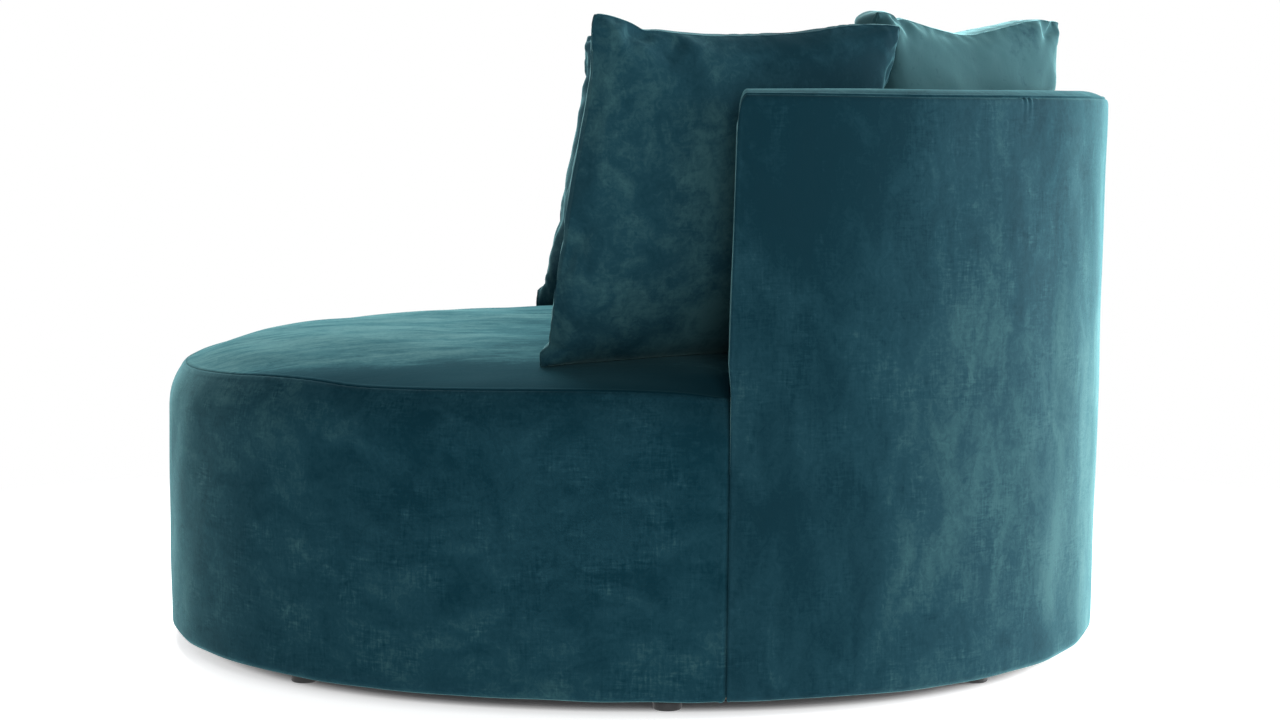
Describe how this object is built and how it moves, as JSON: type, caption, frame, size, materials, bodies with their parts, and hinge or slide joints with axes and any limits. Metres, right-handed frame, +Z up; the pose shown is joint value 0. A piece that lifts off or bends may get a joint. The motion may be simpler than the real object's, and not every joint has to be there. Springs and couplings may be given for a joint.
{
  "type": "cuddle chair",
  "caption": "Wide egg-shaped velvet lounge chair with a deep round seat, a low curved wrap-around back, short hidden feet and loose scatter cushions.",
  "frame": {"origin": "on the floor under the middle of the chair's bounding box", "axes": "+Z up; the sitter faces -Y and +X is the sitter's left, so the curved back is towards +Y"},
  "size_m": [1.399, 1.3365, 0.871],
  "materials": {
    "velvet": "short-pile teal velvet with brushed variation",
    "foam": "upholstery foam",
    "fibre": "polyester fibre wadding",
    "webbing": "woven elastic webbing",
    "plywood": "raw plywood",
    "lining": "black non-woven lining",
    "foot_plastic": "moulded black plastic",
    "zip_tape": "woven zip tape",
    "zip_metal": "dull metal"
  },
  "bodies": {
    "chair": {"bottom_ring": "plywood", "seat_ring": "plywood", "front_post_1": "plywood", "front_post_2": "plywood", "front_post_3": "plywood", "front_post_4": "plywood", "back_upright_1": "plywood", "back_upright_2": "plywood", "back_upright_3": "plywood", "back_upright_4": "plywood", "back_upright_5": "plywood", "back_upright_6": "plywood", "back_upright_7": "plywood", "bottom_rail_1": "plywood", "bottom_rail_2": "plywood", "bottom_rail_3": "plywood", "back_top_rail": "plywood", "front_skin": "plywood", "back_outer_skin": "plywood", "back_inner_skin": "plywood", "seat_webbing": "webbing", "seat_core": "foam", "seat_topper": "fibre", "seat_top_cover": "velvet", "border_foam": "fibre", "seat_border_cover": "velvet", "back_outer_foam": "foam", "back_inner_foam": "foam", "back_top_foam": "foam", "back_outer_cover": "velvet", "back_inner_cover": "velvet", "back_top_cover": "velvet", "back_facing_left": "velvet", "back_facing_right": "velvet", "dust_cover": "lining", "foot_1": "foot_plastic", "foot_2": "foot_plastic", "foot_3": "foot_plastic", "foot_4": "foot_plastic", "foot_5": "foot_plastic", "foot_6": "foot_plastic", "foot_7": "foot_plastic", "foot_8": "foot_plastic"},
    "left_cushion": {"cushion_left_cover": "velvet", "cushion_left_pad": "fibre", "cushion_left_zip": "zip_tape"},
    "back_cushion": {"cushion_back_cover": "velvet", "cushion_back_pad": "fibre", "cushion_back_zip": "zip_tape"},
    "right_cushion": {"cushion_right_cover": "velvet", "cushion_right_pad": "fibre", "cushion_right_zip": "zip_tape"},
    "left_zip_slider": {"cushion_left_zip_slider": "zip_metal"},
    "back_zip_slider": {"cushion_back_zip_slider": "zip_metal"},
    "right_zip_slider": {"cushion_right_zip_slider": "zip_metal"}
  },
  "joints": [
    {"name": "left_cushion_lift", "type": "slide", "parent": "chair", "child": "left_cushion", "axis": [0, 0, 1], "range_m": [0, 0.4]},
    {"name": "back_cushion_lift", "type": "slide", "parent": "chair", "child": "back_cushion", "axis": [0, 0, 1], "range_m": [0, 0.4]},
    {"name": "right_cushion_lift", "type": "slide", "parent": "chair", "child": "right_cushion", "axis": [0, 0, 1], "range_m": [0, 0.4]},
    {"name": "left_zip_slide", "type": "slide", "parent": "left_cushion", "child": "left_zip_slider", "axis": [0.4993, -0.8663, -0.0182], "range_m": [0, 0.338]},
    {"name": "back_zip_slide", "type": "slide", "parent": "back_cushion", "child": "back_zip_slider", "axis": [0.7771, -0.6293, 0], "range_m": [0, 0.338]},
    {"name": "right_zip_slide", "type": "slide", "parent": "right_cushion", "child": "right_zip_slider", "axis": [0.4956, 0.8685, -0.0098], "range_m": [0, 0.338]}
  ]
}
